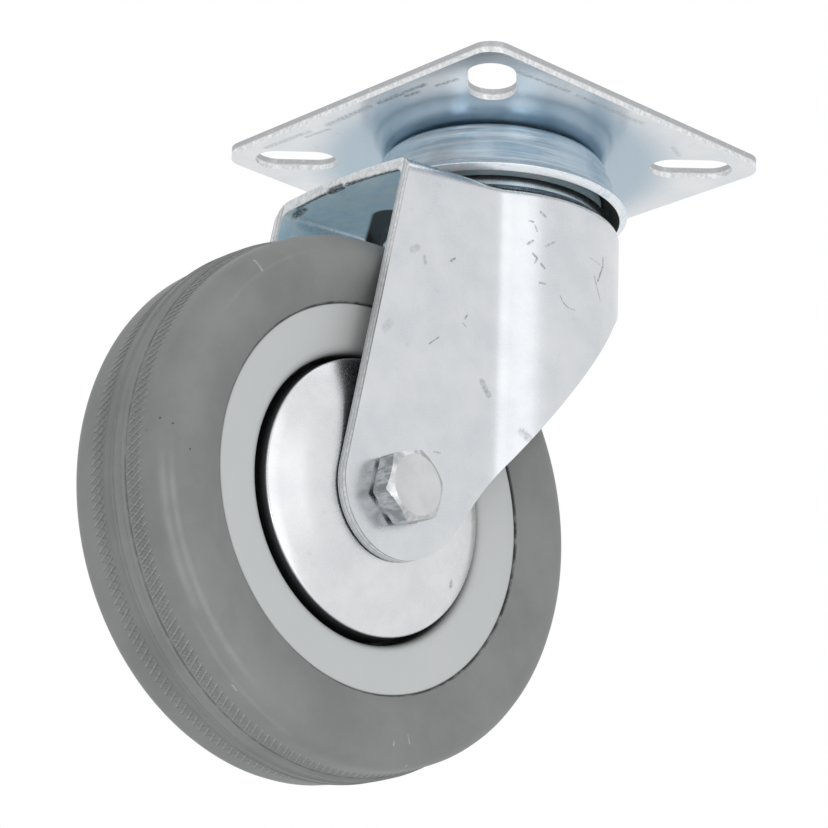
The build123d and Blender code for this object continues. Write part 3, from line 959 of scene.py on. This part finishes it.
rubberLook = {
    "dark": (0.215, 0.217, 0.213),
    "pale": (0.262, 0.264, 0.258),
    "roughness": 0.42,
    # dust, and painted shade at the ridges' feet
    "dust": (0.05, 0.05, 0.05),
    # scuffs, and painted highlights on the ridges' crests
    "scuffAndSheen": (0.46, 0.46, 0.45),
    "spot": (0.03, 0.03, 0.03),
    "groovePlace": 2.42 * mm,
    "grooveDepth": 1.6 * mm,
    "bandDepth": 0.4 * mm,
    # thin lines, painting highlights and shade on the ridges: their slope in shares of the ridges'
    # lean, shift in ridges, colour and strength
    "lines": [
        (-1, 0.5, "scuffAndSheen", 0.5),
        (-1, 0.3, "dust", 0.4),
        (0.8, 0.4, "scuffAndSheen", 0.12),
        (0.8, 0.2, "dust", 0.22),
    ],
}
# pale arcs round the wheel: x and radius in mm, where each starts and ends in degrees from +Z
# towards +Y, width in mm and strength
rubberArcs = [
    (9.5, 39.0, -130, -92, 0.9, 0.26),
    (10.5, 38.1, -150, -89, 0.7, 0.26),
    (8.7, 39.3, -165, -125, 0.6, 0.15),
    (11.2, 36.6, -60, -20, 0.5, 0.15),
]
# marks on the tyre: ends (x, y, z) in mm, width, and whether pale or dark
rubberMarks = [
    ((10.57, -69.49, -65.47), (10.57, -69.49, -65.47), 0.3, False),
    ((8.96, -70.56, -64.61), (8.96, -70.56, -64.61), 0.35, False),
    ((6.65, -70.99, -65.97), (6.65, -70.99, -65.97), 0.3, False),
    ((10.57, -61.69, -74.8), (10.57, -61.69, -74.8), 0.3, False),
    ((4.25, -69.06, -79.04), (4.25, -69.06, -79.04), 0.35, False),
    ((-4.65, -64.38, -88.71), (-4.65, -64.38, -88.71), 0.4, False),
    ((11.63, -67.08, -68.8), (11.63, -67.08, -68.8), 0.3, False),
    ((11.3, -27.14, -100.55), (11.54, -27.23, -102.8), 0.3, True),
    ((11.51, -24.64, -100.93), (11.51, -24.2, -102.0), 0.3, True),
    ((8.03, -54.37, -98.88), (8.03, -53.58, -99.44), 0.3, True),
    ((10.15, -56.47, -37.55), (11.34, -55.88, -39.23), 0.3, True),
    ((9.55, -22.77, -104.77), (9.55, -22.77, -104.77), 0.4, True),
]


def makeRubber(look, arcs, marks):
    # grey rubber: cloudy, dust dark beside the rib and at the seat, pale arcs on the shoulder
    f = Finish("greyRubber", Specular_IOR_Level=0.3)
    up = f.z - wheelCentre.z
    out = f.y - wheelCentre.y
    radius = f.length(Y=out, Z=up)
    turn = out.math("ARCTAN2", up)
    clouds = f.noise(70, 5, 0.62)
    tone = f.mixColor(f.ramp(clouds, 0.3, 0.7), look["dark"], look["pale"])

    # dust between the ridges, then thin pale and dark lines along their crests and feet, and across
    # them, as painted highlights and shade
    tread = wheelRadius - tyre["treadDrop"]
    inBand = (abs(f.x) < tyre["bandOuterEdge"]) * (radius > tread - look["bandDepth"])
    valley = 1 - f.ramp(radius, tread - 0.16 * mm, tread - 0.02 * mm)
    tone = f.mixColor(valley * inBand * 0.4, tone, look["dust"])
    onBand = inBand * (abs(f.x) > tyre["ribHalfWidth"] + tyre["ridgeGap"])
    perTurn = tyre["ridges"] / (2 * math.pi)
    lean = tyre["ridgeLean"] * perTurn / (wheelRadius - tyre["bandDrop"])
    worn = f.ramp(f.noise(1100, 3, 0.6), 0.35, 0.6)
    # painted highlights and shade: pale and dark lines on the ridges
    for share, shift, colour, depth in look["lines"]:
        away = abs((f.x * (lean * share) - turn * perTurn + shift).math("FRACT") - 0.5)
        line = 1 - f.ramp(away, 0.03, 0.13)
        tone = f.mixColor(line * onBand * (worn * 0.6 + 0.4) * depth, tone, look[colour])

    # dust in the groove beside the rib and where the rubber meets the wheel centre
    lane = abs(abs(f.x) - look["groovePlace"])
    groove = 1 - f.ramp(lane, 0.04 * mm, 0.24 * mm)
    groove = groove * (radius > wheelRadius - look["grooveDepth"])
    seat = 1 - f.ramp(radius, rimRadius + 0.05 * mm, rimRadius + 0.35 * mm)
    broken = f.ramp(f.noise(500, 3, 0.6), 0.3, 0.6)
    tone = f.mixColor((groove * 0.6 | seat) * broken, tone, look["dust"])

    for place, reach, start, end, width, depth in arcs:
        across = f.length(X=f.x - place * mm, Y=radius - reach * mm)
        near = 1 - f.ramp(across, 0, width * mm)
        middle = math.radians((start + end) / 2)
        half = math.radians((end - start) / 2)
        along = 1 - f.ramp(abs(turn - middle), half * 0.6, half)
        tone = f.mixColor(near * along * depth * (broken * 0.4 + 0.6), tone, look["scuffAndSheen"])
    for start, end, width, pale in metres(marks, markShare):
        spot = f.stroke(start, end, width)
        tone = f.mixColor(spot * 0.8, tone, look["scuffAndSheen"] if pale else look["spot"])
    f.feed("Base Color", tone)
    f.feed("Roughness", clouds * 0.2 + look["roughness"])
    f.bump(f.noise(1800, 2, 0.6), 0.2, 0.05 * mm)
    return f


rubber = makeRubber(rubberLook, rubberArcs, rubberMarks)

plasticLook = {
    "dark": (0.555, 0.57, 0.565),
    "pale": (0.60, 0.60, 0.59),
    "roughness": 0.36,
    "edge": (0.12, 0.12, 0.12),
    "edgeFrom": 0.3 * mm,
    "edgeFull": 0.02 * mm,
    # painted shade in the recess behind the mouth
    "recessShade": (0.07, 0.07, 0.07),
    "recessFull": 7.6 * mm,
    "recessFrom": 9.35 * mm,
}


def makePlastic(look):
    # grey plastic: dirt gathers where it meets the rubber, and painted shade darkens the recess
    # behind the mouth
    f = Finish("greyPlastic")
    radius = f.length(Y=f.y - wheelCentre.y, Z=f.z - wheelCentre.z)
    tone = f.mixColor(f.noise(90, 4, 0.6), look["dark"], look["pale"])
    edge = f.ramp(radius, rimRadius - look["edgeFrom"], rimRadius - look["edgeFull"])
    tone = f.mixColor(edge * 0.8, tone, look["edge"])
    # painted shade: darker the deeper in the recess
    recessShadeMask = 1 - f.ramp(abs(f.x), look["recessFull"], look["recessFrom"])
    within = radius < hub["mouth"] + hub["mouthRound"]
    tone = f.mixColor(recessShadeMask * within * 0.9, tone, look["recessShade"])
    f.feed("Base Color", tone)
    f.feed("Roughness", f.noise(700, 3, 0.6) * 0.1 + look["roughness"])
    return f


plastic = makePlastic(plasticLook)

bushLook = {"dark": (0.72, 0.72, 0.69), "pale": (0.78, 0.78, 0.75), "roughness": 0.5}


def makeBush(look):
    # plain pale plastic, slightly uneven
    f = Finish("bushPlastic", Roughness=look["roughness"])
    f.feed("Base Color", f.mixColor(f.noise(500), look["dark"], look["pale"]))
    return f


bush = makeBush(bushLook)

# which finish each plain node wears
finishes = {
    "top_plate": plateFinish,
    "dust_ring": ringFinish,
    "king_pin": boltFinish,
    "lower_race": boltFinish,
    "fork": forkFinish,
    "axle_nut": boltFinish,
    "axle_tube": boltFinish,
    "wheel_bush": bush,
}
for name, obj in nodes.items():
    finish = boltFinish if "ball" in name else finishes.get(name)
    if finish:
        wear(obj, finish)
wear(tyrePiece, rubber)
wear(hubPiece, plastic)
wear(cupPiece, cupFinish)
wear(boltPiece, boltFinish)
for piece in guardPieces:
    wear(piece, guardFinish)
print("stage 7: finishes")

room = {
    "floorDrop": 0.9,
    "floorSize": 3.0,
    "fadeFrom": 0.5,  # in shares of the floor's half width, as fadeFull is
    "fadeFull": 0.96,
    "floorColor": (0.88, 0.89, 0.90),
    "floorGlow": 0.3,
    "background": (1.0, 1.0, 1.0),
    "ambient": (0.95, 0.98, 1.0),
    "ambientStrength": 0.62,
}


def buildFloor():
    # a flat square far below the hanging castor that glows a little to the camera and in
    # reflections, and fades out with its distance from the middle
    half = room["floorSize"] / 2
    u = np.linspace(-half, half, 3)
    x, y = np.meshgrid(u, u, indexing="ij")
    points = np.stack([y, x, 0 * x - room["floorDrop"]], axis=-1)
    floor = gridMesh("floor", points, closeColumns=False)
    finish = Finish("paleFloor", Roughness=0.8)
    finish.shader.inputs["Base Color"].default_value = (*room["floorColor"], 1)
    finish.shader.inputs["Emission Strength"].default_value = room["floorGlow"]
    path = finish.tree.nodes.new("ShaderNodeLightPath")
    seen = Signal(finish.tree, path.outputs["Is Glossy Ray"])
    seen = seen | Signal(finish.tree, path.outputs["Is Camera Ray"])
    finish.feed("Emission Color", finish.mixColor(seen, (0, 0, 0), room["background"]))
    reach = finish.length(X=finish.x, Y=finish.y)
    faded = finish.ramp(reach, half * room["fadeFrom"], half * room["fadeFull"])
    finish.feed("Alpha", 1 - faded)
    wear(floor, finish)


def buildWorld():
    # white to the camera and in reflections, a softer fill for everything else
    world = bpy.data.worlds.new("studio")
    bpy.context.scene.world = world
    world.use_nodes = True
    tree = world.node_tree
    tree.nodes.clear()
    out = tree.nodes.new("ShaderNodeOutputWorld")
    ambient = tree.nodes.new("ShaderNodeBackground")
    ambient.inputs["Color"].default_value = (*room["ambient"], 1)
    ambient.inputs["Strength"].default_value = room["ambientStrength"]
    seen = tree.nodes.new("ShaderNodeBackground")
    seen.inputs["Color"].default_value = (*room["background"], 1)
    path = tree.nodes.new("ShaderNodeLightPath")
    either = None
    for kind in ("Is Camera Ray", "Is Glossy Ray", "Is Transmission Ray"):
        ray = Signal(tree, path.outputs[kind])
        either = ray if either is None else either | ray
    mix = tree.nodes.new("ShaderNodeMixShader")
    tree.links.new(either.socket, mix.inputs[0])
    tree.links.new(ambient.outputs[0], mix.inputs[1])
    tree.links.new(seen.outputs[0], mix.inputs[2])
    tree.links.new(mix.outputs[0], out.inputs[0])


# azimuth runs from +X towards +Y; spread is the width and height in degrees as seen from the
# castor. The sparks light only what shines, and the fill doesn't show in reflections
lamps = {
    "keyLamp": {"azimuth": -14, "elevation": -6, "spread": (28, 92), "radiance": 0.5},
    "frontLamp": {"azimuth": -76, "elevation": -6, "spread": (18, 92), "radiance": 0.5},
    "topLamp": {"azimuth": 60, "elevation": 65, "spread": (40, 40), "radiance": 0.6},
    "leftSpark": {
        "azimuth": -77,
        "elevation": -17,
        "spread": (8, 12),
        "radiance": 7,
        "diffuse": False,
    },
    "rightSpark": {
        "azimuth": -19,
        "elevation": -16,
        "spread": (8, 12),
        "radiance": 5,
        "diffuse": False,
    },
    "fillLamp": {
        "azimuth": -30,
        "elevation": -32,
        "spread": (44, 44),
        "radiance": 1.2,
        "mirrored": False,
    },
}
lampTarget = Vector((0, -0.015, -0.05))
lampAway = 0.9


def buildLamps():
    # each lamp is a rectangle that faces the target, with the power that gives its radiance
    for name, lamp in lamps.items():
        azimuth = math.radians(lamp["azimuth"])
        elevation = math.radians(lamp["elevation"])
        level = math.cos(elevation)
        towards = Vector(
            (level * math.cos(azimuth), level * math.sin(azimuth), math.sin(elevation))
        )
        light = bpy.data.lights.new(name, "AREA")
        light.shape = "RECTANGLE"
        light.size, light.size_y = [
            2 * lampAway * math.tan(math.radians(angle / 2)) for angle in lamp["spread"]
        ]
        light.energy = lamp["radiance"] * math.pi * light.size * light.size_y
        obj = bpy.data.objects.new(name, light)
        bpy.context.scene.collection.objects.link(obj)
        obj.visible_glossy = lamp.get("mirrored", True)
        obj.visible_diffuse = lamp.get("diffuse", True)
        obj.location = lampTarget + towards * lampAway
        obj.rotation_mode = "QUATERNION"
        obj.rotation_quaternion = (-towards).to_track_quat("-Z", "Y")


buildFloor()
buildWorld()
buildLamps()

view = {
    "azimuth": 47.3253,
    "elevation": -18.6863,
    "roll": 2.1772,
    "distance": 0.500626,
    "shiftAcross": -0.01267,
    "shiftUp": -0.041484,
    "lens": 136.13,
}


def buildCamera():
    # the camera's axes from azimuth and elevation, then turned by the roll about the line of sight
    azimuth = math.radians(view["azimuth"])
    elevation = math.radians(view["elevation"])
    roll = math.radians(view["roll"])
    back = Vector(
        (
            math.sin(azimuth) * math.cos(elevation),
            -math.cos(azimuth) * math.cos(elevation),
            math.sin(elevation),
        )
    )
    right = (-back).cross(Vector((0, 0, 1))).normalized()
    up = right.cross(-back)
    rolledRight = math.cos(roll) * right + math.sin(roll) * up
    rolledUp = math.cos(roll) * up - math.sin(roll) * right
    place = back * view["distance"] + rolledRight * view["shiftAcross"] + rolledUp * view["shiftUp"]
    data = bpy.data.cameras.new("camera")
    data.sensor_width = 36
    data.lens = view["lens"]
    data.clip_start = 0.01
    data.clip_end = 20
    camera = bpy.data.objects.new("camera", data)
    bpy.context.scene.collection.objects.link(camera)
    camera.matrix_world = Matrix(
        (
            (rolledRight.x, rolledUp.x, back.x, place.x),
            (rolledRight.y, rolledUp.y, back.y, place.y),
            (rolledRight.z, rolledUp.z, back.z, place.z),
            (0, 0, 0, 1),
        )
    )
    bpy.context.scene.camera = camera


buildCamera()
bpy.context.scene.view_settings.view_transform = "Standard"
print("stage 8: room, light and camera")
